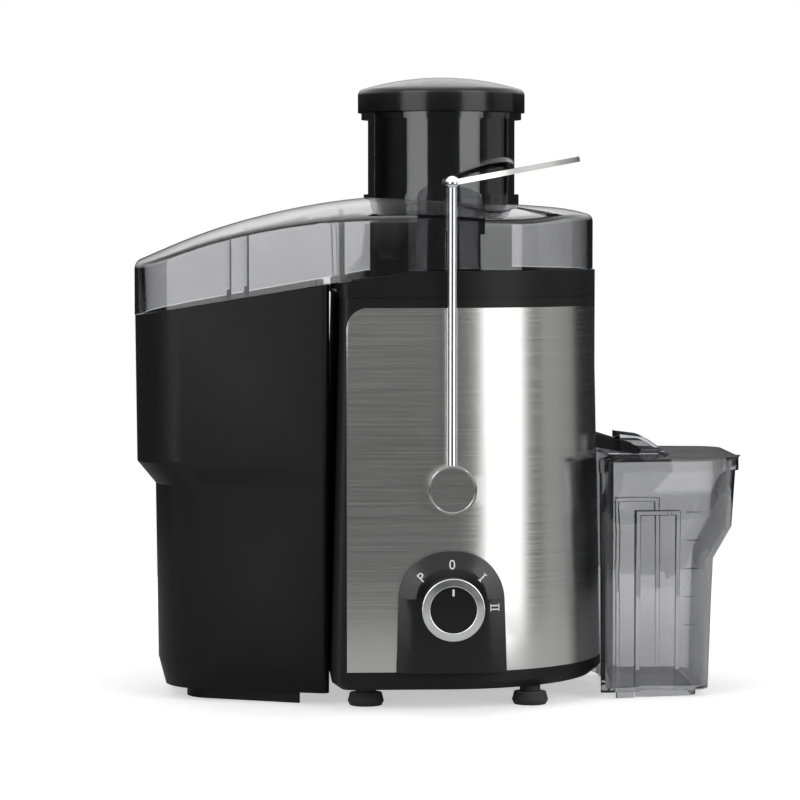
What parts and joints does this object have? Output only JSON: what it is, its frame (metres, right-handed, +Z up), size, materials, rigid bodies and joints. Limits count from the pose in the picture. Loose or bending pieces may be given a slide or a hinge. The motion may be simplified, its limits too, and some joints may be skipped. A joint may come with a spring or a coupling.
{
  "type": "centrifugal juicer",
  "caption": "Upright centrifugal juicer: steel-wrapped motor base, clear lid with round feed chute and pusher, locking arm, dial, pulp bin at one side and pouring jug at the other.",
  "frame": {"origin": "on the table, under the motor axis", "axes": "+Z up along the motor axis, -Y to the dial, -X to the pulp bin, +X to the jug"},
  "size_m": [0.303, 0.1792, 0.3055],
  "materials": {
    "satin_black_abs": "satin moulded black ABS",
    "gloss_black_abs": "gloss moulded black ABS",
    "smoke_clear": "smoke-clear moulded plastic",
    "brushed_stainless": "brushed stainless steel",
    "chrome": "polished chrome plate",
    "black_rubber": "black rubber",
    "plain_steel": "plain steel",
    "lamination_steel": "stacked electrical steel",
    "copper_wire": "enamelled copper",
    "brass": "plain brass",
    "carbon": "pressed carbon",
    "nylon": "moulded nylon"
  },
  "bodies": {
    "base": {"motor_housing": "satin_black_abs", "steel_panel": "brushed_stainless", "base_plate": "satin_black_abs", "base_screws": "plain_steel", "dial_plate": "gloss_black_abs", "juice_bowl": "satin_black_abs", "lid": "smoke_clear", "motor_stator": "lamination_steel", "field_coils": "copper_wire", "upper_bracket": "plain_steel", "lower_bracket": "plain_steel", "motor_bolts": "plain_steel", "carbon_brushes": "carbon", "brush_holders": "brass", "lower_bearing": "plain_steel", "upper_bearing": "plain_steel", "shaft_seal": "black_rubber", "motor_mounts": "black_rubber", "suction_foot_1": "black_rubber", "suction_foot_2": "black_rubber", "suction_foot_3": "black_rubber", "suction_foot_4": "black_rubber", "rotary_switch": "nylon", "arm_bush_front": "nylon", "arm_bush_rear": "nylon", "safety_switch": "nylon", "cord_gland": "black_rubber"},
    "rotor": {"motor_shaft": "plain_steel", "armature_core": "lamination_steel", "armature_windings": "copper_wire", "commutator": "copper_wire", "cooling_fan": "nylon", "drive_coupling": "nylon", "strainer_basket": "plain_steel", "grater_disc": "plain_steel", "basket_rim": "nylon"},
    "arm": {"arm_rod_front": "chrome", "arm_rod_rear": "chrome", "arm_handle": "brushed_stainless", "pivot_hub_front": "brushed_stainless", "pivot_hub_rear": "brushed_stainless"},
    "dial": {"dial_knob": "gloss_black_abs", "dial_ring": "chrome", "switch_spindle": "nylon"},
    "pusher": {"pusher_tube": "gloss_black_abs", "pusher_cap": "gloss_black_abs"},
    "bin": {"pulp_bin": "satin_black_abs"},
    "jug": {"juice_jug": "smoke_clear"},
    "jug_cover": {"jug_lid": "smoke_clear"}
  },
  "joints": [
    {"name": "strainer_spin", "type": "hinge", "parent": "base", "child": "rotor", "pos_m": [0, 0, 0.1], "axis": [0, 0, 1], "continuous": true},
    {"name": "arm_swing", "type": "hinge", "parent": "base", "child": "arm", "pos_m": [0, 0, 0.1066], "axis": [0, 1, 0], "range_deg": [0, 95]},
    {"name": "dial_turn", "type": "hinge", "parent": "base", "child": "dial", "pos_m": [0, -0.085, 0.0504], "axis": [0, 1, 0], "range_deg": [-45, 90]},
    {"name": "pusher_slide", "type": "slide", "parent": "base", "child": "pusher", "axis": [0, 0, 1], "range_m": [0, 0.13]},
    {"name": "bin_slide", "type": "slide", "parent": "base", "child": "bin", "axis": [0, -1, 0], "range_m": [0, 0.16]},
    {"name": "jug_slide", "type": "slide", "parent": "base", "child": "jug", "axis": [-1, 0, 0], "range_m": [-0.12, 0]},
    {"name": "jug_lid_lift", "type": "slide", "parent": "jug", "child": "jug_cover", "axis": [0, 0, 1], "range_m": [0, 0.06]}
  ]
}
